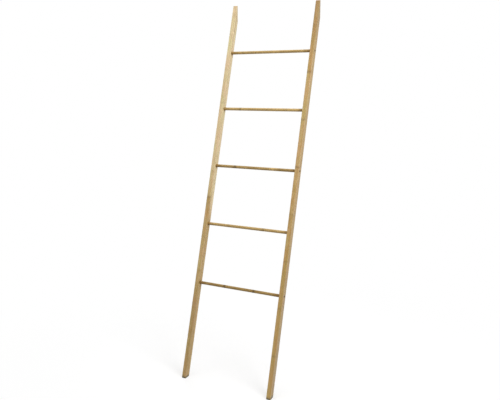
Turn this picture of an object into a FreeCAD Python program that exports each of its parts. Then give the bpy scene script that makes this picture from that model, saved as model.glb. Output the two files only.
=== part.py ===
import FreeCAD, Part
import os

import Sketcher
from FreeCAD import Placement, Rotation, Vector

# A bamboo towel ladder that leans on a wall, in millimetres.
# It is drawn standing straight up: X across, Y from the room to the wall, Z along the rails,
# with Z = 0 where the rails' centre lines meet the floor. Each leaning piece is then tipped
# back about the floor by its Placement, and the whole is slid to stand centred on the origin.

SIZES = {
    # Whole ladder
    "overall_width": 450,
    "lean_angle": 17,
    # Rails: the length runs along the centre line, from the floor to the level top
    "rail_length": 1800,
    "rail_width": 20,
    "rail_depth": 30,
    "top_thickness": 8,
    "edge_round": 1.2,
    # Rungs: the gaps run along the rails, from the floor and from the top
    "rung_count": 5,
    "rung_diameter": 14,
    "rung_chamfer": 0.6,
    "bottom_gap": 440,
    "top_gap": 240,
    # Sockets in the rails' inner faces: the web is the wood from a socket to a screw's head
    "web_thickness": 8,
    "socket_clearance": 0.1,
    "mouth_chamfer": 1,
    # Screws through the rails into the ends of every second rung, from the bottom one up
    "screw_step": 2,
    "screw_diameter": 4,
    "screw_length": 35,
    "screw_hole_clearance": 0.2,
    "pilot_clearance": 0.1,
    "pilot_spare": 2,
    "head_diameter": 8,
    "head_height": 3.2,
    "head_chamfer": 0.4,
    "head_clearance": 0.25,
    "head_recess": 0.8,
    "key_width": 3,
    "key_depth": 2,
    # Anti-slip pads under the feet
    "pad_thickness": 3,
    "pad_inset": 0.5,
}

# Places across the ladder, on the right-hand side
OUTER_FACE = "(Sizes.overall_width / 2)"
INNER_FACE = f"({OUTER_FACE} - Sizes.rail_width)"
MOUTH_FLOOR = f"({INNER_FACE} + Sizes.mouth_chamfer)"
HEAD_FACE = f"({OUTER_FACE} - Sizes.head_recess)"
HEAD_SEAT = f"({HEAD_FACE} - Sizes.head_height)"
SOCKET_FLOOR = f"({HEAD_SEAT} - Sizes.web_thickness)"
SCREW_TIP = f"({HEAD_SEAT} - Sizes.screw_length)"
PILOT_FLOOR = f"({SCREW_TIP} - Sizes.pilot_spare)"

# Radii about a rung's axis
RUNG_RADIUS = "(Sizes.rung_diameter / 2)"
SOCKET_RADIUS = f"({RUNG_RADIUS} + Sizes.socket_clearance)"
MOUTH_RADIUS = f"({SOCKET_RADIUS} + Sizes.mouth_chamfer)"
SCREW_RADIUS = "(Sizes.screw_diameter / 2)"
SCREW_HOLE_RADIUS = f"({SCREW_RADIUS} + Sizes.screw_hole_clearance)"
PILOT_RADIUS = f"({SCREW_RADIUS} + Sizes.pilot_clearance)"
HEAD_RADIUS = "(Sizes.head_diameter / 2)"
HEAD_BORE_RADIUS = f"({HEAD_RADIUS} + Sizes.head_clearance)"

# Places along and behind the ladder
RUNG_SPAN = "(Sizes.rail_length - Sizes.bottom_gap - Sizes.top_gap)"
RUNG_PITCH = f"({RUNG_SPAN} / (Sizes.rung_count - 1))"
SCREW_PITCH = f"({RUNG_PITCH} * Sizes.screw_step)"
SCREW_COUNT = "(floor((Sizes.rung_count - 1) / Sizes.screw_step) + 1)"
FOOT_HEIGHT = "(Sizes.pad_thickness / cos(Sizes.lean_angle))"
FOOT_DRIFT = "(Sizes.pad_thickness * tan(Sizes.lean_angle))"
LEVEL_DEPTH = "(Sizes.rail_depth / cos(Sizes.lean_angle))"
WALL_REACH = "(Sizes.rail_length * sin(Sizes.lean_angle) + Sizes.top_thickness)"
SETBACK = f"(({WALL_REACH} + {FOOT_DRIFT} - {LEVEL_DEPTH}) / 2)"

doc = FreeCAD.newDocument("towel_ladder")
sheet = doc.addObject("Spreadsheet::Sheet", "Sizes")
for row, (alias, size) in enumerate(SIZES.items(), start=1):
    sheet.set(f"A{row}", alias)
    sheet.set(f"B{row}", str(size))
    sheet.setAlias(f"B{row}", alias)
doc.recompute()


def amount(expression):
    """The number that an expression of the sheet comes to."""
    return float(sheet.evalExpression(expression))


def on_side(expression, side):
    """A place across the ladder, taken to the right (side 1) or to the left (side -1)."""
    return expression if side > 0 else f"(-{expression})"


def origin_feature(body, role):
    """A body's own origin plane or axis."""
    return next(item for item in body.Origin.OriginFeatures if item.Role == role)


def new_body(label):
    """An empty body, named for its piece."""
    body = doc.addObject("PartDesign::Body", label)
    body.Label = label
    return body


def new_sketch(body, name, plane, along="0", up="0"):
    """A sketch on an origin plane, moved up in that plane and along its normal."""
    sketch = body.newObject("Sketcher::SketchObject", name)
    sketch.AttachmentSupport = [(origin_feature(body, plane), "")]
    sketch.MapMode = "FlatFace"
    sketch.setExpression("AttachmentOffset.Base.y", up)
    sketch.setExpression("AttachmentOffset.Base.z", along)
    return sketch


def tie(sketch, constraint, expression):
    """Adds a dimension and binds it to an expression of the sheet."""
    number = sketch.addConstraint(constraint)
    sketch.setExpression(f"Constraints[{number}]", expression)


def close_loop(sketch, points):
    """Straight lines from point to point and back to the first, joined at their ends."""
    for start, end in zip(points, points[1:] + points[:1]):
        sketch.addGeometry(Part.LineSegment(start, end))
    for line in range(len(points)):
        following = (line + 1) % len(points)
        sketch.addConstraint(Sketcher.Constraint("Coincident", line, 2, following, 1))


def draw_section(sketch, corners):
    """A closed outline whose corners are tied to expressions, or to an axis where that is 0."""
    points = [Vector(amount(across), amount(up)) for across, up in corners]
    close_loop(sketch, points)
    for line, (corner, point) in enumerate(zip(corners, points)):
        for kind, axis, expression, place in zip(("DistanceX", "DistanceY"), (-2, -1), corner, point):
            if expression == "0":
                sketch.addConstraint(Sketcher.Constraint("PointOnObject", line, 1, axis))
            else:
                tie(sketch, Sketcher.Constraint(kind, -1, 1, line, 1, place), expression)


def turn_section(body, name, kind, corners, height):
    """Turns a half section about a rung's axis, as a solid or as a cut."""
    sketch = new_sketch(body, f"{name}_section", "XZ_Plane", up=height)
    draw_section(sketch, corners)
    turned = body.newObject(kind, name)
    turned.Profile = sketch
    turned.ReferenceAxis = (sketch, ["H_Axis"])
    turned.Angle = 360
    doc.recompute()
    return turned


def require_cut(before, after):
    """Stops if a cut has taken nothing away."""
    if after.Shape.Volume >= before.Shape.Volume:
        raise RuntimeError(f"{after.Name} cuts nothing")


def lean_back(body):
    """Tips a piece back about the floor line by the lean angle and slides it to its place."""
    body.Placement = Placement(Vector(), Rotation(Vector(-1, 0, 0), amount("Sizes.lean_angle")))
    body.setExpression("Placement.Rotation.Angle", "Sizes.lean_angle")
    body.setExpression("Placement.Base.y", f"-{SETBACK}")


def rung_height(number):
    """The place along the rails of a rung, counted from 1 at the bottom."""
    return f"(Sizes.bottom_gap + {RUNG_PITCH} * {number - 1})"


def draw_side_view(sketch):
    """A rail from the side: level foot, straight back, plumb wall cut, level top, straight front.

    A point on the centre line sets the height of the foot, and another that of the top.
    """
    foot, back, wall_cut, top, front, foot_point, top_point = range(7)
    half_depth = amount("Sizes.rail_depth / 2")
    slope = amount("tan(Sizes.lean_angle)")
    foot_height = amount(FOOT_HEIGHT)
    rail_length = amount("Sizes.rail_length")
    top_depth = amount("Sizes.top_thickness * cos(Sizes.lean_angle)")
    top_back = top_depth - half_depth
    cut_start = rail_length + top_back * slope - (half_depth - top_back) / slope
    close_loop(sketch, [
        Vector(-half_depth, foot_height - half_depth * slope),
        Vector(half_depth, foot_height + half_depth * slope),
        Vector(half_depth, cut_start),
        Vector(top_back, rail_length + top_back * slope),
        Vector(-half_depth, rail_length - half_depth * slope),
    ])
    sketch.addGeometry(Part.Point(Vector(0, foot_height)))
    sketch.addGeometry(Part.Point(Vector(0, rail_length)))
    sketch.addConstraint([
        Sketcher.Constraint("Vertical", back),
        Sketcher.Constraint("Vertical", front),
        Sketcher.Constraint("Perpendicular", wall_cut, foot),
        Sketcher.Constraint("Parallel", top, foot),
        Sketcher.Constraint("PointOnObject", foot_point, 1, -2),
        Sketcher.Constraint("PointOnObject", foot_point, 1, foot),
        Sketcher.Constraint("PointOnObject", top_point, 1, -2),
        Sketcher.Constraint("PointOnObject", top_point, 1, top),
    ])
    angle = FreeCAD.Units.Quantity(f"{amount('Sizes.lean_angle')} deg")
    tie(sketch, Sketcher.Constraint("Angle", foot, angle), "Sizes.lean_angle * 1 deg")
    tie(sketch, Sketcher.Constraint("DistanceX", foot, 1, -1, 1, half_depth), "Sizes.rail_depth / 2")
    tie(sketch, Sketcher.Constraint("DistanceX", -1, 1, foot, 2, half_depth), "Sizes.rail_depth / 2")
    tie(sketch, Sketcher.Constraint("DistanceY", -1, 1, foot_point, 1, foot_height), FOOT_HEIGHT)
    tie(sketch, Sketcher.Constraint("DistanceY", -1, 1, top_point, 1, rail_length), "Sizes.rail_length")
    tie(sketch, Sketcher.Constraint("Distance", top, amount("Sizes.top_thickness")), "Sizes.top_thickness")


def bore_up_rail(body, name, steps, side, spacing, count):
    """A stepped round cut at the bottom rung, repeated up the rail at an even spacing."""
    before = body.Tip
    corners = [(on_side(across, side), radius) for across, radius in steps]
    first = turn_section(body, name, "PartDesign::Groove", corners, rung_height(1))
    require_cut(before, first)
    row = body.newObject("PartDesign::LinearPattern", f"{name}_row")
    row.Originals = [first]
    row.Direction = (origin_feature(body, "Z_Axis"), [""])
    row.Mode = "Spacing"
    row.setExpression("Offset", spacing)
    row.setExpression("Occurrences", count)
    body.Tip = row
    doc.recompute()
    if row.Occurrences > 1:
        require_cut(first, row)


def make_rail(label, side):
    """A rail sawn to its side view, its edges eased, then bored at the rungs.

    Every rung has a blind socket with a chamfered mouth in the inner face. A screwed rung also
    has a way through to the outer face: the screw's hole and the recess for its head.
    """
    body = new_body(label)
    near_face = INNER_FACE if side > 0 else on_side(OUTER_FACE, side)
    side_view = new_sketch(body, f"{label}_side_view", "YZ_Plane", along=near_face)
    draw_side_view(side_view)
    blank = body.newObject("PartDesign::Pad", f"{label}_blank")
    blank.Profile = side_view
    blank.setExpression("Length", "Sizes.rail_width")
    doc.recompute()
    eased = body.newObject("PartDesign::Fillet", f"{label}_eased")
    eased.Base = (blank, ["Edge1"])
    eased.UseAllEdges = True
    eased.setExpression("Radius", "Sizes.edge_round")
    doc.recompute()
    socket = [
        (INNER_FACE, "0"),
        (INNER_FACE, MOUTH_RADIUS),
        (MOUTH_FLOOR, SOCKET_RADIUS),
        (SOCKET_FLOOR, SOCKET_RADIUS),
        (SOCKET_FLOOR, "0"),
    ]
    screw_way = [
        (SOCKET_FLOOR, "0"),
        (SOCKET_FLOOR, SCREW_HOLE_RADIUS),
        (HEAD_SEAT, SCREW_HOLE_RADIUS),
        (HEAD_SEAT, HEAD_BORE_RADIUS),
        (OUTER_FACE, HEAD_BORE_RADIUS),
        (OUTER_FACE, "0"),
    ]
    bore_up_rail(body, f"{label}_socket", socket, side, RUNG_PITCH, "Sizes.rung_count")
    bore_up_rail(body, f"{label}_screw_way", screw_way, side, SCREW_PITCH, SCREW_COUNT)
    lean_back(body)
    return body


def make_rung(number, screwed):
    """A round rung that seats on both socket floors, with a pilot hole in each end if screwed."""
    label = f"rung_{number}"
    body = new_body(label)
    plain_end = [(SOCKET_FLOOR, "0")]
    drilled_end = [
        (PILOT_FLOOR, "0"),
        (PILOT_FLOOR, PILOT_RADIUS),
        (SOCKET_FLOOR, PILOT_RADIUS),
    ]
    half = [("0", "0")]
    half += drilled_end if screwed else plain_end
    half += [
        (SOCKET_FLOOR, f"({RUNG_RADIUS} - Sizes.rung_chamfer)"),
        (f"({SOCKET_FLOOR} - Sizes.rung_chamfer)", RUNG_RADIUS),
        ("0", RUNG_RADIUS),
    ]
    right_half = turn_section(body, f"{label}_half", "PartDesign::Revolution", half, rung_height(number))
    whole = body.newObject("PartDesign::Mirrored", f"{label}_whole")
    whole.Originals = [right_half]
    whole.MirrorPlane = (origin_feature(body, "YZ_Plane"), [""])
    body.Tip = whole
    lean_back(body)
    return body


def make_screw(label, side, number):
    """A cheese-headed screw with a plain shank and a hexagonal key socket."""
    body = new_body(label)
    steps = [
        (SCREW_TIP, "0"),
        (SCREW_TIP, SCREW_RADIUS),
        (HEAD_SEAT, SCREW_RADIUS),
        (HEAD_SEAT, HEAD_RADIUS),
        (f"({HEAD_FACE} - Sizes.head_chamfer)", HEAD_RADIUS),
        (HEAD_FACE, f"({HEAD_RADIUS} - Sizes.head_chamfer)"),
        (HEAD_FACE, "0"),
    ]
    corners = [(on_side(across, side), radius) for across, radius in steps]
    turned = turn_section(body, f"{label}_turned", "PartDesign::Revolution", corners, rung_height(number))
    key = body.newObject("PartDesign::SubtractivePrism", f"{label}_key")
    key.AttachmentSupport = [(origin_feature(body, "YZ_Plane"), "")]
    key.MapMode = "FlatFace"
    key.Polygon = 6
    key.setExpression("Circumradius", "Sizes.key_width / sqrt(3)")
    key.setExpression("Height", "Sizes.key_depth")
    key_floor = f"({HEAD_FACE} - Sizes.key_depth)" if side > 0 else on_side(HEAD_FACE, side)
    key.setExpression("AttachmentOffset.Base.y", rung_height(number))
    key.setExpression("AttachmentOffset.Base.z", key_floor)
    doc.recompute()
    require_cut(turned, key)
    lean_back(body)
    return body


def make_foot_pad(label, side):
    """A flat pad under a rail's level foot, set in a little from its edges."""
    body = new_body(label)
    near = on_side(f"({INNER_FACE} + Sizes.pad_inset)", side)
    far = on_side(f"({OUTER_FACE} - Sizes.pad_inset)", side)
    front = f"({FOOT_DRIFT} - {LEVEL_DEPTH} / 2 + Sizes.pad_inset)"
    back = f"({FOOT_DRIFT} + {LEVEL_DEPTH} / 2 - Sizes.pad_inset)"
    outline = new_sketch(body, f"{label}_outline", "XY_Plane")
    draw_section(outline, [(near, front), (far, front), (far, back), (near, back)])
    sheet_pad = body.newObject("PartDesign::Pad", f"{label}_sheet")
    sheet_pad.Profile = outline
    sheet_pad.setExpression("Length", "Sizes.pad_thickness")
    doc.recompute()
    upright = [
        f"Edge{number}"
        for number, edge in enumerate(sheet_pad.Shape.Edges, start=1)
        if edge.BoundBox.ZLength > amount("Sizes.pad_thickness / 2")
    ]
    rounded = body.newObject("PartDesign::Fillet", f"{label}_rounded")
    rounded.Base = (sheet_pad, upright)
    rounded.setExpression("Radius", "Sizes.edge_round")
    body.setExpression("Placement.Base.y", f"-{SETBACK}")
    return body


rung_count = int(amount("Sizes.rung_count"))
rung_numbers = range(1, rung_count + 1)
screwed_rungs = range(1, rung_count + 1, int(amount("Sizes.screw_step")))
pieces = [make_rung(number, number in screwed_rungs) for number in rung_numbers]
for hand, side in (("left", -1), ("right", 1)):
    pieces.append(make_rail(f"{hand}_rail", side))
    pieces.append(make_foot_pad(f"{hand}_foot_pad", side))
    pieces += [make_screw(f"{hand}_screw_{number}", side, number) for number in screwed_rungs]
doc.recompute()

failed = [item.Name for item in doc.Objects if {"Invalid", "Error"} & set(item.State)]
failed += [piece.Label for piece in pieces if piece.Shape.isNull() or not piece.Shape.isValid()]
if failed:
    raise RuntimeError(f"these did not build: {failed}")

os.makedirs("parts", exist_ok=True)
for piece in pieces:
    piece.Shape.exportStep(f"parts/{piece.Label}.step")
    print(piece.Label, round(piece.Shape.Volume, 1), piece.Shape.BoundBox)
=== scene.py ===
import math

import bpy
import numpy as np
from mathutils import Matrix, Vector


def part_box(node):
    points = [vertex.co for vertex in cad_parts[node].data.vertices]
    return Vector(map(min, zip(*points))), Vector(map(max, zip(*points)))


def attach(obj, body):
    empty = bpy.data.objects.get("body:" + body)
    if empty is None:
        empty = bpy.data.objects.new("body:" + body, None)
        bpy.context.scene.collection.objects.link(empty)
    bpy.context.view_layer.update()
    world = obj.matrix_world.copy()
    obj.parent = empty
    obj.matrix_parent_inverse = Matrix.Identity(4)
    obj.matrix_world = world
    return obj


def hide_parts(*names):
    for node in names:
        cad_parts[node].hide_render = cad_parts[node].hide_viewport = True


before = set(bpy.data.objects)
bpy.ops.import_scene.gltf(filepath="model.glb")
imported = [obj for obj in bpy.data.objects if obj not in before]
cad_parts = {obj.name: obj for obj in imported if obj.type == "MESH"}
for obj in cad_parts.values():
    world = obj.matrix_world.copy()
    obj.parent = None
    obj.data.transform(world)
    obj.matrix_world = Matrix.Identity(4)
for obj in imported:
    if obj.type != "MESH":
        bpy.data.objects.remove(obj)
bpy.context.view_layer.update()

# A bamboo towel ladder that leans on a wall, in metres, in the CAD's own frame.
# The rails, screws and foot pads are the CAD's solids with their finishes. The rungs are worked
# out here as bamboo rods with knots, because a plain cylinder lacks them.


def middle(node):
    """The centre of a CAD node's box."""
    low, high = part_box(node)
    return (low + high) / 2


# The ladder as the frame gives it
SIDES = {"left": -1, "right": 1}
rung_names = sorted(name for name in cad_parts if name.startswith("rung_"))
screw_names = sorted(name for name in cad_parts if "_screw_" in name)
pad_names = sorted(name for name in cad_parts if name.endswith("_foot_pad"))
rung_low, rung_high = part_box(rung_names[0])
bottom_rung = middle(rung_names[0])
top_rung = middle(rung_names[-1])
RUNG_RADIUS = (rung_high.z - rung_low.z) / 2
RUNG_HALF_LENGTH = (rung_high.x - rung_low.x) / 2
RUNG_GAP = (top_rung - bottom_rung).length / (len(rung_names) - 1)
LEAN = math.atan2(top_rung.y - bottom_rung.y, top_rung.z - bottom_rung.z)
FIRST_RUNG = bottom_rung.z / math.cos(LEAN)
SETBACK = bottom_rung.z * math.tan(LEAN) - bottom_rung.y
INNER_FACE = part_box("right_rail")[0].x
FOOT_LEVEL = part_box(pad_names[0])[1].z

# Sizes of the rails, sockets and screw heads, as the part's source has them
RAIL_DEPTH = 0.030
RAIL_WIDTH = 0.020
RAIL_LENGTH = 1.800
MOUTH_RADIUS = 0.0081
HEAD_RADIUS = 0.004
HEAD_BORE_RADIUS = 0.00425

# Each rail's own bamboo. Its front strip has knots, counted from the first one up, with factors for
# those that show more or less than chance gives, and scars of branches, as heights up the rail with
# how strong they show. The front strip and the rest each have their own tone, whose pale and
# toasted shares come in between two heights. These shares are partly the bamboo's own tone and
# partly painted light: the paleness high up on the left rail is a painted sheen, and the toast
# towards the floor on both rails is painted shade.
RAIL_BAMBOO = {
    "left": {
        "seed": 34.0,
        "first_knot": 0.195,
        "knot_gap": 0.162,
        "knot_share": 0.28,
        "knot_factors": {5: 0.35},
        "branch_scars": {0.847: 0.42},
        "front": {
            "pale": 0.68,
            "pale_heights": (0.62, 1.10),
            "toast": 0.60,
            "toast_and_shade_heights": (0.74, 0.22),
        },
        "rest": {
            "pale": 0.97,
            "pale_heights": (0.68, 0.85),
            "toast": 0.12,
            "toast_and_shade_heights": (0.70, 0.25),
        },
        "crown_toast": 0.21,
    },
    "right": {
        "seed": 13.5,
        "first_knot": 0.190,
        "knot_gap": 0.2136,
        "knot_share": 0.80,
        "knot_factors": {0: 0.6, 4: 1.6, 5: 0.75, 7: 0.72},
        "branch_scars": {},
        "front": {
            "pale": 0.14,
            "pale_heights": (0.42, 0.82),
            "toast": 0.08,
            "toast_and_shade_heights": (1.0, 0.05),
        },
        "rest": {
            "pale": -0.24,
            "pale_heights": (0.42, 0.82),
            "toast": 0.68,
            "toast_and_shade_heights": (1.12, 0.08),
        },
        "crown_toast": 0.60,
    },
}

# Each rung's own knots and pale patches, as places along X with how strong they show, and how dark
# its rod is
RUNG_BAMBOO = {
    "rung_1": {"knots": {-0.183: 0.3, -0.074: 1.0, 0.075: 1.0}, "patches": {}, "dark": 0.7},
    "rung_2": {"knots": {-0.095: 0.25, 0.083: 0.6}, "patches": {}, "dark": 0.3},
    "rung_3": {"knots": {-0.103: 1.0, 0.128: 0.3}, "patches": {0.092: 0.55}, "dark": 0.52},
    "rung_4": {"knots": {-0.117: 0.6, 0.121: 0.25}, "patches": {}, "dark": 0.1},
    "rung_5": {"knots": {-0.142: 0.25, 0.026: 0.1, 0.178: 0.25}, "patches": {0.029: 0.5}, "dark": 0.30},
}


# Colours

def tint(red, green, blue):
    """A colour as it is seen, in steps of 255, turned into linear values by the sRGB curve."""
    seen = np.array((red, green, blue)) / 255
    linear = np.where(seen <= 0.04045, seen / 12.92, ((seen + 0.055) / 1.055) ** 2.4)
    return (*linear.tolist(), 1.0)


# Straw is the bamboo's pale tone; high up on the left rail it also paints a sheen
STRAW_AND_SHEEN = tint(233, 212, 165)
# Rubbed wear on the arrises, which also paints a highlight along them
RUBBED_AND_HIGHLIT_STRAW = tint(222, 196, 148)
HONEY = tint(187, 153, 87)
# Toast is the bamboo's darker tone; towards the floor it also paints shade
TOAST_AND_SHADE = tint(147, 113, 58)
# Knot brown, also used for the painted shade round the screw heads' recesses
KNOT_AND_SHADE_BROWN = tint(98, 68, 34)
# A dark olive brown for the bottom of each foot, just over its pad
FIBRE_BROWN = tint(128, 93, 45)
# Dark brown for the socket mouths, where it is partly painted shade in the chamfer, and for the rungs'
# darker ends
MOUTH_AND_END_BROWN = tint(112, 68, 10)
FOOT_BAND_BROWN = tint(78, 78, 44)
ROD_TAN = tint(207, 176, 116)
ROD_BROWN = tint(134, 105, 55)
ROD_KNOT = tint(66, 46, 20)
GUNMETAL = tint(38, 32, 25)
WORN_STEEL = tint(92, 80, 66)
RUBBER = tint(64, 60, 30)
RUBBER_BLOOM = tint(98, 92, 54)
RUSSET_STAIN = (1.04, 0.96, 1.03, 1.0)
OLIVE_STAIN = (0.965, 1.03, 0.97, 1.0)
WHITE = (1.0, 1.0, 1.0, 1.0)
BLACK = (0.0, 0.0, 0.0, 1.0)

# Where noise and random values lie on average
NOISE_MIDDLE = 0.5


class Finish:
    """A material being made up: most methods add nodes and give back an output."""

    def __init__(self, name):
        self.material = bpy.data.materials.new(name)
        self.material.use_nodes = True
        self.tree = self.material.node_tree
        self.shader = self.tree.nodes["Principled BSDF"]

    def put(self, socket, value):
        """Links an output into a socket, or writes a plain value there."""
        if isinstance(value, bpy.types.NodeSocket):
            self.tree.links.new(value, socket)
        else:
            socket.default_value = value

    def feed(self, socket, value):
        """Feeds one of the shader's own sockets."""
        self.put(self.shader.inputs[socket], value)

    def add(self, kind, inputs, **settings):
        """A node with its settings, its sockets fed by name or by number."""
        node = self.tree.nodes.new(f"ShaderNode{kind}")
        for name, value in settings.items():
            setattr(node, name, value)
        for socket, value in inputs.items():
            self.put(node.inputs[socket], value)
        return node

    def reckon(self, operation, *values):
        """Plain arithmetic on one, two or three values."""
        return self.add("Math", dict(enumerate(values)), operation=operation).outputs[0]

    def ease(self, value, start, end):
        """0 at start and before it, 1 at end and past it, and a smooth step between."""
        inputs = {"Value": value, "From Min": start, "From Max": end}
        return self.add("MapRange", inputs, interpolation_type="SMOOTHSTEP").outputs[0]

    def blend(self, share, first, second):
        """One colour taken towards another by a share from 0 to 1."""
        inputs = {0: share, 6: first, 7: second}
        return self.add("Mix", inputs, data_type="RGBA", clamp_factor=True).outputs[2]

    def swap(self, share, first, second):
        """One value taken towards another by a share from 0 to 1."""
        return self.add("Mix", {0: share, 2: first, 3: second}, data_type="FLOAT").outputs[0]

    def dye(self, colour, stain):
        """One colour multiplied by another."""
        inputs = {0: 1.0, 6: colour, 7: stain}
        return self.add("Mix", inputs, data_type="RGBA", blend_type="MULTIPLY").outputs[2]

    def split(self, vector):
        """The three parts of a vector."""
        return self.add("SeparateXYZ", {0: vector}).outputs

    def grain(self, spot, size, detail=2.0, roughness=0.5, shows=None):
        """Noise whose clouds have that size along each axis, from 0 to 1 about its middle.

        If only a part of it shows, it is eased from 0 where that part starts to 1 where it ends.
        """
        inverse = tuple(1 / length for length in size)
        stretched = self.add("VectorMath", {0: spot, 1: inverse}, operation="MULTIPLY").outputs[0]
        inputs = {"Vector": stretched, "Scale": 1.0, "Detail": detail, "Roughness": roughness}
        noise = self.add("TexNoise", inputs, noise_dimensions="3D").outputs[0]
        if shows is None:
            return noise
        return self.ease(noise, *shows)

    def chance(self, number, seed):
        """Three random values that belong to a whole number."""
        pair = self.add("CombineXYZ", {0: number, 1: seed}).outputs[0]
        colour = self.add("TexWhiteNoise", {"Vector": pair}, noise_dimensions="2D").outputs["Color"]
        return self.add("SeparateColor", {0: colour}).outputs

    def sum(self, *shares):
        """Several values added up, each multiplied by its own weight."""
        total = None
        for value, weight in shares:
            if total is None:
                total = self.reckon("MULTIPLY", value, weight)
            else:
                total = self.reckon("MULTIPLY_ADD", value, weight, total)
        return total

    def total(self, marks, weights):
        """Those marks added up that have a weight, each multiplied by it."""
        return self.sum(*((marks[name], weight) for name, weight in weights.items()))

    def stain(self, colour, marks, stains):
        """A colour taken towards one stain after another, where the marks of each lie."""
        for stain, weights in stains:
            colour = self.blend(self.total(marks, weights), colour, stain)
        return colour

    def surface(self, colour, marks, look):
        """Feeds the shader its colour, and the roughness and the relief that marks add up to."""
        self.feed("Base Color", colour)
        rougher = self.total(marks, look["rougher"])
        self.feed("Roughness", self.reckon("ADD", look["roughness"], rougher))
        relief = self.total(marks, look["relief"])
        bump = {"Height": relief, "Distance": look["relief_depth"], "Strength": 1.0}
        self.feed("Normal", self.add("Bump", bump).outputs[0])


# Rails: strips of bamboo glued face to face through the depth. Points on a face are taken just
# inside it, so that none falls past the last strip.

STRIP_THICKNESS = 0.006
JUST_INSIDE = 0.998
KNOT_STRETCH = 0.030
WEAKEST_KNOT = 0.4
HALF_STEP = 0.5
SCAR_REACH = 0.020
SCAR_EDGE = 0.002
SCAR_FADE = (0.150, 0.050)


def along_rail(finish, source, kind, centre=0.0):
    """Coordinates turned to a rail: X across it, Y through its depth, Z up it from the floor.

    The lean is taken out by a turn about X, and the rail's centre line at the floor becomes zero.
    """
    output = finish.add("TexCoord", {}).outputs[source]
    inputs = {"Vector": output, "Rotation": (LEAN, 0, 0)}
    if kind == "POINT":
        inputs["Location"] = (-centre, SETBACK * math.cos(LEAN), SETBACK * math.sin(LEAN))
    return finish.add("Mapping", inputs, vector_type=kind).outputs[0]


def strip_marks(finish, depth, height, bamboo):
    """Which strip a point is in, its random values, its nearest knot and its distance from a glue line.

    Knots come at an even step up each strip, stretched a little at mid height, as along a culm. The
    front strip starts at its own first knot, and every other strip is slid up by a random share of
    the step. Each knot has a random strength, times its factor where the front strip gives it one,
    and each length between two knots has a random tone.
    """
    inside = finish.reckon("MULTIPLY_ADD", depth, JUST_INSIDE, RAIL_DEPTH / 2)
    layer = finish.reckon("DIVIDE", inside, STRIP_THICKNESS)
    strip = finish.reckon("FLOOR", layer)
    part = finish.reckon("FRACT", layer)
    edge_way = finish.reckon("MINIMUM", part, finish.reckon("SUBTRACT", 1.0, part))
    behind = finish.reckon("MINIMUM", strip, 1.0)
    in_front = finish.reckon("SUBTRACT", 1.0, behind)
    own_seed = finish.reckon("ADD", strip, bamboo["seed"])
    chances = finish.chance(strip, bamboo["seed"])

    slide = finish.reckon("MULTIPLY", chances[0], behind)
    swing = finish.reckon("SINE", finish.reckon("MULTIPLY", height, math.pi / RAIL_LENGTH))
    climbed = finish.reckon("MULTIPLY_ADD", swing, KNOT_STRETCH, height)
    risen = finish.reckon("SUBTRACT", climbed, bamboo["first_knot"])
    steps = finish.reckon("SUBTRACT", finish.reckon("DIVIDE", risen, bamboo["knot_gap"]), slide)
    nearest = finish.reckon("ROUND", steps)
    past_knot = finish.reckon("SUBTRACT", steps, nearest)
    luck = finish.chance(nearest, own_seed)[0]
    strength = finish.reckon("MULTIPLY_ADD", luck, 1 - WEAKEST_KNOT, WEAKEST_KNOT)
    strength = finish.reckon("MULTIPLY", strength, bamboo["knot_share"])
    for number, factor in bamboo["knot_factors"].items():
        same = finish.reckon("COMPARE", nearest, float(number), HALF_STEP)
        chosen = finish.reckon("MULTIPLY", same, in_front)
        strength = finish.swap(chosen, strength, finish.reckon("MULTIPLY", strength, factor))
    return {
        "strip": strip,
        "chances": chances,
        "in_front": in_front,
        "knot_way": finish.reckon("MULTIPLY", past_knot, bamboo["knot_gap"]),
        "knot_strength": strength,
        "length_tone": finish.chance(finish.reckon("FLOOR", steps), own_seed)[1],
        "glue_way": finish.reckon("MULTIPLY", edge_way, STRIP_THICKNESS),
    }


def scar_marks(finish, height, strips, scars):
    """The way to a knot and its strength, with scars laid over them, and the shade below each scar.

    Near a scar on the front strip, the way to the scar and its strength stand in for the knot's.
    The shade starts at the scar and fades out further down, so that the painted sheen above the scar
    ends at it.
    """
    in_front = strips["in_front"]
    way = strips["knot_way"]
    strength = strips["knot_strength"]
    shade = 0.0
    for scar_height, scar_strength in scars.items():
        scar_way = finish.reckon("SUBTRACT", height, scar_height)
        near = finish.reckon("LESS_THAN", finish.reckon("ABSOLUTE", scar_way), SCAR_REACH)
        scarred = finish.reckon("MULTIPLY", near, in_front)
        way = finish.swap(scarred, way, scar_way)
        strength = finish.swap(scarred, strength, scar_strength)
        below = finish.reckon("MULTIPLY", finish.ease(scar_way, SCAR_EDGE, -SCAR_EDGE), in_front)
        fading = finish.ease(scar_way, -SCAR_FADE[0], -SCAR_FADE[1])
        shade = finish.reckon("MULTIPLY_ADD", below, fading, shade)
    return {"knot_way": way, "knot_strength": strength, "scar_shade": shade}


# Grain of a rail: clouds by their size across, through and along it, and the part of each that shows
RAIL_GRAIN = {
    "cloud": {"size": (0.014, 0.014, 0.22), "detail": 3.0},
    "mottle": {"size": (0.009, 0.009, 0.030)},
    "fibre": {"size": (0.0011, 0.0011, 0.075), "detail": 4.0, "roughness": 0.65},
    "dash": {"size": (0.0005, 0.0005, 0.010), "detail": 1.0, "shows": (0.60, 0.72)},
    "blush": {"size": (0.016, 0.016, 0.09), "shows": (0.32, 0.68)},
    "bend": {"size": (0.011, 0.011, 0.04), "detail": 1.0},
    "clear": {"size": (0.005, 0.005, 0.02), "shows": (0.30, 0.62)},
    "tangled": {"size": (0.0007, 0.0007, 0.003), "detail": 1.0, "shows": (0.50, 0.66)},
}
STREAK_SHOWS = (0.48, 0.74)

# How far a knot bends, and its line and halo as the distances where each starts and where it is full
KNOT_BEND = 0.006
KNOT_LINE = (0.0022, 0.0002)
KNOT_HALO = (0.012, 0.001)


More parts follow.
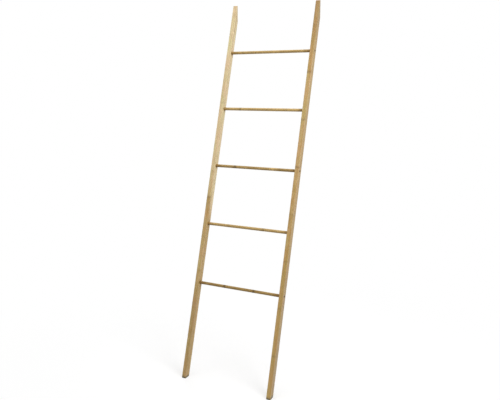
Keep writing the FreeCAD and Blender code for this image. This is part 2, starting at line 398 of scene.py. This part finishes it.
def knot_marks(finish, grain, strips):
    """A knot as a soft line, bent a little and faint in places, and tangled fibres, in a brown halo."""
    bend = finish.reckon("SUBTRACT", grain["bend"], NOISE_MIDDLE)
    bent_way = finish.reckon("MULTIPLY_ADD", bend, KNOT_BEND, strips["knot_way"])
    way = finish.reckon("ABSOLUTE", bent_way)
    thin = finish.reckon("MULTIPLY", finish.ease(way, *KNOT_LINE), grain["clear"])
    halo = finish.reckon("MULTIPLY", finish.ease(way, *KNOT_HALO), strips["knot_strength"])
    return {
        "line": finish.reckon("MULTIPLY", thin, strips["knot_strength"]),
        "halo": halo,
        "tangle": finish.reckon("MULTIPLY", grain["tangled"], halo),
    }


# Half widths of a glue line, and how far in from the rail's surface glue lines and arrises lie
GLUE_LINE = (0.00025, 0.00006)
GLUE_INSET = (0.0008, 0.0012)
ARRIS_BAND = (0.0016, 0.0002)
END_FACING = (0.20, 0.36)
RUB_GRAIN = {"size": (0.02, 0.02, 0.07), "detail": 3.0, "shows": (0.40, 0.62)}


def edge_marks(finish, spot, strips):
    """Glue lines between the strips, cut ends, and arrises rubbed bare in patches by hands and towels,
    whose paler band also paints a highlight along the edges.

    A point lies on an arris where it is near the rail's surface both across it and through it.
    """
    across, depth, _ = finish.split(spot)
    wide = finish.reckon("ABSOLUTE", across)
    deep = finish.reckon("ABSOLUTE", depth)
    half_depth = RAIL_DEPTH / 2
    inside = finish.ease(deep, half_depth - GLUE_INSET[0], half_depth - GLUE_INSET[1])
    glue = finish.ease(strips["glue_way"], *GLUE_LINE)
    facing = finish.split(along_rail(finish, "Normal", "VECTOR"))[2]
    near_side = finish.ease(wide, RAIL_WIDTH / 2 - ARRIS_BAND[0], RAIL_WIDTH / 2 - ARRIS_BAND[1])
    near_face = finish.ease(deep, half_depth - ARRIS_BAND[0], half_depth - ARRIS_BAND[1])
    arris = finish.reckon("MULTIPLY", near_side, near_face)
    return {
        "glue": finish.reckon("MULTIPLY", glue, inside),
        "end_grain": finish.ease(finish.reckon("ABSOLUTE", facing), *END_FACING),
        # Rubbed wear along the arrises, and a painted highlight there
        "rubbed": finish.reckon("MULTIPLY", arris, finish.grain(spot, **RUB_GRAIN)),
    }


def from_rung_axis(finish, depth, height):
    """The number of the nearest rung, from 0 at the bottom, and a point's distance from its axis.

    The number is the height rounded to the rungs' step.
    """
    steps = finish.reckon("DIVIDE", finish.reckon("SUBTRACT", height, FIRST_RUNG), RUNG_GAP)
    nearest = finish.reckon("ROUND", steps)
    number = finish.reckon("MAXIMUM", finish.reckon("MINIMUM", nearest, len(rung_names) - 1.0), 0.0)
    rise = finish.reckon("MULTIPLY", finish.reckon("SUBTRACT", steps, number), RUNG_GAP)
    squares = finish.reckon("MULTIPLY_ADD", rise, rise, finish.reckon("MULTIPLY", depth, depth))
    return number, finish.reckon("SQRT", squares)


# Marks round the bores: how far out from the rail's middle they come in, and how far they spread
BORED_FACE = (0.0055, 0.0075)
MOUTH_SOFTNESS = 0.0004
RECESS_SHADE_BAND = (0.0018, 0.0002)
GLUED_MOUTH_SHARE = 0.30
SCREW_STEP = 2.0


def bore_marks(finish, spot, side):
    """How far a point lies in a socket's mouth, darkened as end grain and by painted shade in its
    chamfer, or in the painted shade round the recess of a screw's head.

    Every second rung has a screw, and the mouths of the others are darkened less.
    """
    across, depth, height = finish.split(spot)
    number, radius = from_rung_axis(finish, depth, height)
    outward = finish.reckon("MULTIPLY", across, side)
    inner = finish.ease(outward, -BORED_FACE[0], -BORED_FACE[1])
    outer = finish.ease(outward, *BORED_FACE)
    ring = finish.ease(radius, MOUTH_RADIUS + MOUTH_SOFTNESS, MOUTH_RADIUS - MOUTH_SOFTNESS)
    screwed = finish.reckon("SUBTRACT", 1.0, finish.reckon("MODULO", number, SCREW_STEP))
    mouth_share = finish.reckon("MULTIPLY_ADD", screwed, 1 - GLUED_MOUTH_SHARE, GLUED_MOUTH_SHARE)
    # Painted shade in each socket's chamfer, on darkened end grain
    mouth = finish.reckon("MULTIPLY", ring, inner)
    # A band of painted shade round each screw head's recess
    hole = finish.ease(radius, HEAD_BORE_RADIUS + RECESS_SHADE_BAND[0], HEAD_BORE_RADIUS + RECESS_SHADE_BAND[1])
    recess = finish.reckon("MULTIPLY", hole, outer)
    return {
        "mouth": finish.reckon("MULTIPLY", mouth, mouth_share),
        "recess": finish.reckon("MULTIPLY", recess, screwed),
    }


FOOT_BAND_RISE = 0.012
FOOT_BAND_FADE = 0.011


def foot_band(finish, spot, fibre):
    """A darker band at the bottom of a foot, by the height over its pad, its top edge following the
    fibres.
    """
    _, depth, height = finish.split(spot)
    level = finish.sum((height, math.cos(LEAN)), (depth, -math.sin(LEAN)), (fibre, -FOOT_BAND_RISE))
    lowest = FOOT_LEVEL - FOOT_BAND_RISE / 2
    return finish.ease(level, lowest + FOOT_BAND_FADE, lowest)


TONE_SWINGS = {"strip": 0.30, "length": 0.12, "cloud": 0.65, "mottle": 0.58}
SCAR_SHADE = 0.25
CROWN_HEIGHTS = (1.50, 1.78)


def strip_tone(finish, height, tone):
    """How pale and how toasted a strip is at a height up the rail. Both are partly the bamboo's own
    tone
    and partly painted light: a painted sheen high up on the left rail, painted shade towards the floor.
    """
    pale = finish.reckon("MULTIPLY", finish.ease(height, *tone["pale_heights"]), tone["pale"])
    toast = finish.reckon("MULTIPLY", finish.ease(height, *tone["toast_and_shade_heights"]), tone["toast"])
    return pale, toast


def rail_tone(finish, height, grain, strips, bamboo):
    """The bamboo's ground colour: straw or honey, toasted towards the floor and darker at the crown.
    The straw high up on the left rail is partly a painted sheen, the toast partly painted shade.

    It wanders with each strip, length between two knots and cloud, and darkens below a scar, where the
    painted sheen above the scar ends. A faint blush turns it towards russet or olive.
    """
    chances = {
        "strip": strips["chances"][2],
        "length": strips["length_tone"],
        "cloud": grain["cloud"],
        "mottle": grain["mottle"],
    }
    swings = {}
    for name, chance in chances.items():
        swings[name] = finish.reckon("SUBTRACT", chance, NOISE_MIDDLE)
    swing = finish.total(swings, TONE_SWINGS)
    wander = finish.reckon("MULTIPLY_ADD", strips["scar_shade"], -SCAR_SHADE, swing)
    front_pale, front_toast_and_shade = strip_tone(finish, height, bamboo["front"])
    rest_pale, rest_toast_and_shade = strip_tone(finish, height, bamboo["rest"])
    pale = finish.swap(strips["in_front"], rest_pale, front_pale)
    toast = finish.swap(strips["in_front"], rest_toast_and_shade, front_toast_and_shade)
    crowned = finish.ease(height, *CROWN_HEIGHTS)
    toast = finish.reckon("MULTIPLY_ADD", crowned, bamboo["crown_toast"], toast)
    # Straw high up is partly painted sheen, and toast towards the floor is partly painted shade
    colour = finish.blend(finish.reckon("ADD", pale, wander), HONEY, STRAW_AND_SHEEN)
    colour = finish.blend(finish.reckon("SUBTRACT", toast, wander), colour, TOAST_AND_SHADE)
    return finish.dye(colour, finish.blend(grain["blush"], OLIVE_STAIN, RUSSET_STAIN))


RAIL_STAINS = (
    (FIBRE_BROWN, {"streak": 0.32, "dash": 0.38}),
    (KNOT_AND_SHADE_BROWN, {"halo": 0.36, "line": 0.66, "tangle": 0.34}),
    (FIBRE_BROWN, {"glue": 0.40, "end_grain": 0.22}),
    # Arrises: rubbed wear and a painted highlight
    (RUBBED_AND_HIGHLIT_STRAW, {"rubbed": 0.24}),
    # The bottom of each foot darker, just over its pad
    (FOOT_BAND_BROWN, {"darker_foot": 0.70}),
    # Painted shade round the screw heads' recesses
    (KNOT_AND_SHADE_BROWN, {"recess": 0.85}),
    # Socket mouths: darkened end grain and painted shade in the chamfer
    (MOUTH_AND_END_BROWN, {"mouth": 0.94}),
)
RAIL_LOOK = {
    "roughness": 0.36,
    "rougher": {"fibre": 0.16, "end_grain": 0.25, "mouth": 0.20, "dash": 0.08, "rubbed": 0.14},
    "relief": {"fibre": 0.5, "dash": -0.4, "line": -0.9, "halo": 0.5, "glue": -0.4},
    "relief_depth": 0.00018,
}
LACQUER = {"Coat Weight": 0.30, "Coat Roughness": 0.24}


def rail_bamboo(hand):
    """Sanded bamboo strips under a satin lacquer, with fibres, knots, glue lines and end grain.

    Each strip has its grain from a place of its own. The same bundles of fibre show as streaks
    along the rail and as dots on its cut ends.
    """
    bamboo = RAIL_BAMBOO[hand]
    finish = Finish(f"{hand}_rail_bamboo")
    spot = along_rail(finish, "Object", "POINT", middle(f"{hand}_rail").x)
    _, depth, height = finish.split(spot)
    strips = strip_marks(finish, depth, height, bamboo)
    strips.update(scar_marks(finish, height, strips, bamboo["branch_scars"]))

    place = {0: strips["strip"], 1: bamboo["seed"], 2: strips["chances"][1]}
    shift = finish.add("CombineXYZ", place).outputs[0]
    own_spot = finish.add("VectorMath", {0: spot, 1: shift}, operation="ADD").outputs[0]
    grain = {name: finish.grain(own_spot, **cloud) for name, cloud in RAIL_GRAIN.items()}
    marks = {
        "fibre": grain["fibre"],
        "streak": finish.ease(grain["fibre"], *STREAK_SHOWS),
        "dash": grain["dash"],
        "darker_foot": foot_band(finish, spot, grain["fibre"]),
        **knot_marks(finish, grain, strips),
        **edge_marks(finish, spot, strips),
        **bore_marks(finish, spot, SIDES[hand]),
    }
    ground = rail_tone(finish, height, grain, strips, bamboo)
    finish.surface(finish.stain(ground, marks, RAIL_STAINS), marks, RAIL_LOOK)
    for socket, value in LACQUER.items():
        finish.feed(socket, value)
    return finish.material


# Rungs: bamboo rods with their skin on

ROD_GRAIN = {
    "cloud": {"size": (0.06, 0.006, 0.006), "detail": 3.0},
    "fibre": {"size": (0.05, 0.0007, 0.0007), "detail": 4.0, "roughness": 0.65},
    "dash": {"size": (0.008, 0.0004, 0.0004), "detail": 1.0, "shows": (0.60, 0.72)},
}
ROD_STREAK_SHOWS = (0.45, 0.75)
ROD_SWING = 1.2
ROD_END_DARKENING = (0.040, 0.002)
PATCH_REACH = 0.026
ROD_STAINS = (
    (ROD_BROWN, {"streak": 0.40, "dash": 0.35}),
    (ROD_KNOT, {"knot": 0.55, "scar": 0.40}),
    # The rod darker towards both ends, where it meets the rails
    (MOUTH_AND_END_BROWN, {"end": 0.40}),
)
ROD_LOOK = {
    "roughness": 0.46,
    "rougher": {"fibre": 0.18, "knot": 0.12, "end": 0.08},
    "relief": {"fibre": 0.5, "dash": -0.3, "scar": -0.6},
    "relief_depth": 0.00015,
}
ROD_GLOSS = 0.22


def rung_bamboo(name):
    """A bamboo rod's skin: brown, with fine lengthwise fibres, dark knots and ends darker near the
    rails.
    """
    bamboo = RUNG_BAMBOO[name]
    finish = Finish(f"{name}_bamboo")
    spot = finish.add("TexCoord", {}).outputs["Object"]
    length = finish.split(spot)[0]
    marks = {label: finish.grain(spot, **cloud) for label, cloud in ROD_GRAIN.items()}
    marks["streak"] = finish.ease(marks["fibre"], *ROD_STREAK_SHOWS)
    marks["end"] = finish.ease(
        finish.reckon("ABSOLUTE", length), INNER_FACE - ROD_END_DARKENING[0], INNER_FACE - ROD_END_DARKENING[1]
    )
    for label in ("knot", "scar"):
        marks[label] = finish.add("Attribute", {}, attribute_name=label).outputs["Fac"]

    swing = finish.reckon("SUBTRACT", marks["cloud"], NOISE_MIDDLE)
    shade = finish.reckon("MULTIPLY_ADD", swing, ROD_SWING, bamboo["dark"])
    for place, paleness in bamboo["patches"].items():
        way = finish.reckon("ABSOLUTE", finish.reckon("SUBTRACT", length, place))
        shade = finish.reckon("MULTIPLY_ADD", finish.ease(way, PATCH_REACH, 0.0), -paleness, shade)
    ground = finish.blend(shade, ROD_TAN, ROD_BROWN)
    finish.surface(finish.stain(ground, marks, ROD_STAINS), marks, ROD_LOOK)
    finish.feed("Specular IOR Level", ROD_GLOSS)
    return finish.material


ROD_SIDES = 40
STATION_GAP = 0.0012
ROD_ALLOWANCE = 0.00013
ROD_CHAMFER = 0.0006
SWELL_HEIGHT = 0.00010
SWELL_WIDTH = 0.0045
SHEATH_SCAR_DEPTH = 0.00016
SHEATH_SCAR_WIDTH = 0.0011
SHEATH_SCAR_OFFSET = 0.0035
KNOT_STAIN_WIDTH = 0.0065
WAVE_HEIGHT = 0.00002
WAVE_STEP = 0.031
OVAL_HEIGHT = 0.00001
PHASE_PER_METRE = 9


def bell(way, width):
    """A smooth bell, 1 in the middle and about a third at its width."""
    return np.exp(-((way / width) ** 2))


def knotted_rod(name):
    """A bamboo rod along X, seated in both sockets, as rings of points closed by a point at each end.

    Its radius is the rung's own less a small allowance. At each knot a smooth bell swells it almost
    back to the full radius, and a narrow bell beside it cuts the scar of the leaf sheath. A slow
    wave along the rod and an oval round it keep it from being a perfect cylinder.
    """
    centre = middle(name)
    knots = np.array(list(RUNG_BAMBOO[name]["knots"]))
    strengths = np.array(list(RUNG_BAMBOO[name]["knots"].values()))
    phase = centre.z * PHASE_PER_METRE

    reach = RUNG_HALF_LENGTH - ROD_CHAMFER
    inner_stations = np.linspace(-reach, reach, round(2 * reach / STATION_GAP) + 1)
    stations = np.concatenate(([-RUNG_HALF_LENGTH], inner_stations, [RUNG_HALF_LENGTH]))
    nearest = np.abs(stations[:, None] - knots[None, :]).argmin(axis=1)
    way = stations - knots[nearest]
    strength = strengths[nearest]
    swell = SWELL_HEIGHT * bell(way, SWELL_WIDTH)
    scar = bell(way - SHEATH_SCAR_OFFSET, SHEATH_SCAR_WIDTH)
    angles = np.linspace(0, 2 * math.pi, ROD_SIDES, endpoint=False)
    wave = WAVE_HEIGHT * np.sin(stations / WAVE_STEP + phase)
    oval = OVAL_HEIGHT * np.cos(2 * angles + phase)
    along = RUNG_RADIUS - ROD_ALLOWANCE + swell - SHEATH_SCAR_DEPTH * scar + wave
    along[[0, -1]] -= ROD_CHAMFER
    radius = along[:, None] + oval[None, :]
    rings = np.stack(
        (
            np.broadcast_to(stations[:, None], radius.shape),
            centre.y + radius * np.cos(angles)[None, :],
            centre.z + radius * np.sin(angles)[None, :],
        ),
        axis=-1,
    ).reshape(-1, 3)
    tips = np.array([(stations[0], centre.y, centre.z), (stations[-1], centre.y, centre.z)])

    here = np.arange(ROD_SIDES)
    after = np.roll(here, -1)
    first = (np.arange(len(stations) - 1) * ROD_SIDES)[:, None]
    second = first + ROD_SIDES
    quads = np.stack((first + here, first + after, second + after, second + here), axis=-1)
    last_ring = (len(stations) - 1) * ROD_SIDES
    low_tip = np.full(ROD_SIDES, len(rings))
    low_cap = np.stack((low_tip, after, here), axis=-1)
    high_cap = np.stack((low_tip + 1, last_ring + here, last_ring + after), axis=-1)

    mesh = bpy.data.meshes.new(f"{name}_rod")
    faces = quads.reshape(-1, 4).tolist() + low_cap.tolist() + high_cap.tolist()
    mesh.from_pydata(np.concatenate((rings, tips)).tolist(), [], faces)
    smooth = np.ones(len(faces), bool)
    smooth[-2 * ROD_SIDES:] = False
    mesh.polygons.foreach_set("use_smooth", smooth)
    shown = {"knot": strength * bell(way, KNOT_STAIN_WIDTH), "scar": strength * scar}
    for label, values in shown.items():
        spread = np.concatenate((np.repeat(values, ROD_SIDES), (0.0, 0.0)))
        attribute = mesh.attributes.new(label, "FLOAT", "POINT")
        attribute.data.foreach_set("value", spread.astype(np.float32))
    mesh.update()
    rod = bpy.data.objects.new(f"{name}_rod", mesh)
    bpy.context.scene.collection.objects.link(rod)
    return rod


# Screws and foot pads

STEEL_RING = {"size": (0.0004, 0.0002, 1.0), "roughness": 0.7}
STEEL_CLOUD = {"size": (0.002, 0.002, 0.002), "detail": 3.0}
RIM_BAND = (0.0006, 0.0001)
WEAR = {"cloud": 0.6, "ring": 0.4, "rim": 0.12}
WEAR_SHOWS = (0.50, 0.68)
STEEL_STAINS = ((WORN_STEEL, {"worn": 0.55}),)
STEEL_LOOK = {
    "roughness": 0.34,
    "rougher": {"cloud": 0.18, "ring": 0.12},
    "relief": {"ring": 1.0},
    "relief_depth": 0.00004,
}


def screw_steel():
    """Burnished steel: dark, turned in fine rings, rubbed brighter in places and on the head's rim."""
    finish = Finish("burnished_steel")
    spot = along_rail(finish, "Object", "POINT")
    across, depth, height = finish.split(spot)
    radius = from_rung_axis(finish, depth, height)[1]
    turned = finish.add("CombineXYZ", {0: across, 1: radius}).outputs[0]
    marks = {
        "ring": finish.grain(turned, **STEEL_RING),
        "cloud": finish.grain(spot, **STEEL_CLOUD),
        "rim": finish.ease(radius, HEAD_RADIUS - RIM_BAND[0], HEAD_RADIUS - RIM_BAND[1]),
    }
    marks["worn"] = finish.ease(finish.total(marks, WEAR), *WEAR_SHOWS)
    finish.surface(finish.stain(GUNMETAL, marks, STEEL_STAINS), marks, STEEL_LOOK)
    finish.feed("Metallic", 1.0)
    return finish.material


PAD_CLOUD = {"size": (0.006, 0.006, 0.004), "detail": 3.0}
PAD_PEBBLE = {"size": (0.0006, 0.0006, 0.0006)}
BLOOM = {"cloud": 0.7, "pebble": 0.3}
BLOOM_SHOWS = (0.45, 0.68)
PAD_LOOK = {
    "roughness": 0.70,
    "rougher": {"pebble": 0.25},
    "relief": {"pebble": 1.0},
    "relief_depth": 0.0001,
}


def pad_rubber():
    """Matt rubber with a fine cast grain and a dusty bloom."""
    finish = Finish("foot_rubber")
    spot = finish.add("TexCoord", {}).outputs["Object"]
    marks = {"cloud": finish.grain(spot, **PAD_CLOUD), "pebble": finish.grain(spot, **PAD_PEBBLE)}
    bloom = finish.ease(finish.total(marks, BLOOM), *BLOOM_SHOWS)
    finish.surface(finish.blend(bloom, RUBBER, RUBBER_BLOOM), marks, PAD_LOOK)
    return finish.material


def dress(node, material):
    """Puts a finish in a CAD node's material slots."""
    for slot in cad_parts[node].material_slots:
        slot.material = material


for hand in SIDES:
    dress(f"{hand}_rail", rail_bamboo(hand))
steel = screw_steel()
for name in screw_names:
    dress(name, steel)
rubber = pad_rubber()
for name in pad_names:
    dress(name, rubber)
for name in rung_names:
    rod = knotted_rod(name)
    rod.data.materials.append(rung_bamboo(name))
    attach(rod, "root")
    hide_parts(name)


# Studio: a pale floor that is white to the eye where it is lit, and soft light from three sides

FLOOR_HALF = 8.0
FLOOR_COLOUR = (0.60, 0.60, 0.60, 1.0)
FLOOR_ROUGHNESS = 0.9
LIT_FLOOR = 0.62
SHADOW_SHARE = 0.70
SHADOW_REACH = (0.40, 1.60)
WORLD_LIGHT = 0.30
SOFTBOXES = {
    "key_softbox": {"place": (2.6, -1.2, 2.7), "aim": (0.0, 0.0, 1.0), "size": 1.6, "watts": 58.0},
    "top_softbox": {"place": (0.0, -0.3, 5.5), "aim": (0.0, 0.0, 0.9), "size": 4.0, "watts": 165.0},
    "back_softbox": {"place": (-2.4, 2.2, 1.3), "aim": (0.0, 0.0, 0.9), "size": 1.6, "watts": 32.0},
}


def seen_directly(tree):
    """1 for rays that show the background to the eye: from the camera, by reflection or through."""
    path = tree.nodes.new("ShaderNodeLightPath")
    total = path.outputs["Is Camera Ray"]
    for kind in ("Is Glossy Ray", "Is Transmission Ray"):
        larger = tree.nodes.new("ShaderNodeMath")
        larger.operation = "MAXIMUM"
        tree.links.new(total, larger.inputs[0])
        tree.links.new(path.outputs[kind], larger.inputs[1])
        total = larger.outputs[0]
    return total


def make_floor():
    """A pale matt floor that looks white where it is lit, with the ladder's shadow on it.

    The eye sees a share of the floor's own shading, which falls to nothing with the distance, and
    as much plain white as a lit floor then lacks. Light that bounces sees the floor's colour alone.
    """
    finish = Finish("pale_floor")
    finish.feed("Roughness", FLOOR_ROUGHNESS)
    finish.feed("Specular IOR Level", 0.0)
    finish.feed("Emission Color", WHITE)
    seen = seen_directly(finish.tree)
    spot = finish.add("TexCoord", {}).outputs["Object"]
    distance = finish.add("VectorMath", {0: spot}, operation="LENGTH").outputs["Value"]
    far = finish.ease(distance, *SHADOW_REACH)
    shaded = finish.reckon("MULTIPLY_ADD", far, -SHADOW_SHARE, SHADOW_SHARE)
    hidden = finish.reckon("MULTIPLY", finish.reckon("SUBTRACT", 1.0, shaded), seen)
    finish.feed("Base Color", finish.blend(hidden, FLOOR_COLOUR, BLACK))
    lacking = finish.reckon("MULTIPLY_ADD", shaded, -LIT_FLOOR, 1.0)
    finish.feed("Emission Strength", finish.reckon("MULTIPLY", lacking, seen))
    signs = ((-1, -1), (1, -1), (1, 1), (-1, 1))
    corners = [(FLOOR_HALF * right, FLOOR_HALF * back, 0) for right, back in signs]
    mesh = bpy.data.meshes.new("floor")
    mesh.from_pydata(corners, [], [(0, 1, 2, 3)])
    mesh.materials.append(finish.material)
    floor = bpy.data.objects.new("floor", mesh)
    bpy.context.scene.collection.objects.link(floor)


def make_world():
    """White to the eye, and an even soft light on the ladder."""
    world = bpy.data.worlds.new("studio")
    bpy.context.scene.world = world
    world.use_nodes = True
    tree = world.node_tree
    light = tree.nodes["Background"]
    light.inputs["Color"].default_value = WHITE
    light.inputs["Strength"].default_value = WORLD_LIGHT
    white = tree.nodes.new("ShaderNodeBackground")
    white.inputs["Color"].default_value = WHITE
    white.inputs["Strength"].default_value = 1.0
    mixed = tree.nodes.new("ShaderNodeMixShader")
    tree.links.new(seen_directly(tree), mixed.inputs[0])
    tree.links.new(light.outputs[0], mixed.inputs[1])
    tree.links.new(white.outputs[0], mixed.inputs[2])
    tree.links.new(mixed.outputs[0], tree.nodes["World Output"].inputs["Surface"])


def make_softbox(name, place, aim, size, watts):
    """A square soft light, turned to face its aim."""
    lamp = bpy.data.lights.new(name, "AREA")
    lamp.shape = "SQUARE"
    lamp.size = size
    lamp.energy = watts
    softbox = bpy.data.objects.new(name, lamp)
    softbox.location = place
    direction = np.array(aim) - np.array(place)
    level = math.hypot(direction[0], direction[1])
    softbox.rotation_euler = (
        math.pi / 2 + math.atan2(direction[2], level),
        0,
        math.atan2(direction[1], direction[0]) - math.pi / 2,
    )
    softbox.visible_camera = False
    bpy.context.scene.collection.objects.link(softbox)


make_floor()
make_world()
for name, softbox in SOFTBOXES.items():
    make_softbox(name, **softbox)


# Camera, fitted to the rails' edges and the rungs' lines in the photograph

PHOTO_WIDTH = 500
PHOTO_HEIGHT = 400
FOCAL_PIXELS = 580
OPTICAL_ROW = 190
SENSOR_WIDTH = 36.0
CAMERA_PLACE = (1.1736, -2.3645, 1.3206)
CAMERA_YAW = math.radians(26.49)
CAMERA_PITCH = math.radians(-9.91)

lens = bpy.data.cameras.new("photo_camera")
lens.sensor_width = SENSOR_WIDTH
lens.lens = FOCAL_PIXELS / PHOTO_WIDTH * SENSOR_WIDTH
lens.shift_y = (OPTICAL_ROW - PHOTO_HEIGHT / 2) / PHOTO_WIDTH
camera = bpy.data.objects.new("photo_camera", lens)
camera.location = CAMERA_PLACE
camera.rotation_euler = (math.pi / 2 + CAMERA_PITCH, 0, CAMERA_YAW)
bpy.context.scene.collection.objects.link(camera)
bpy.context.scene.camera = camera
bpy.context.scene.view_settings.view_transform = "Standard"
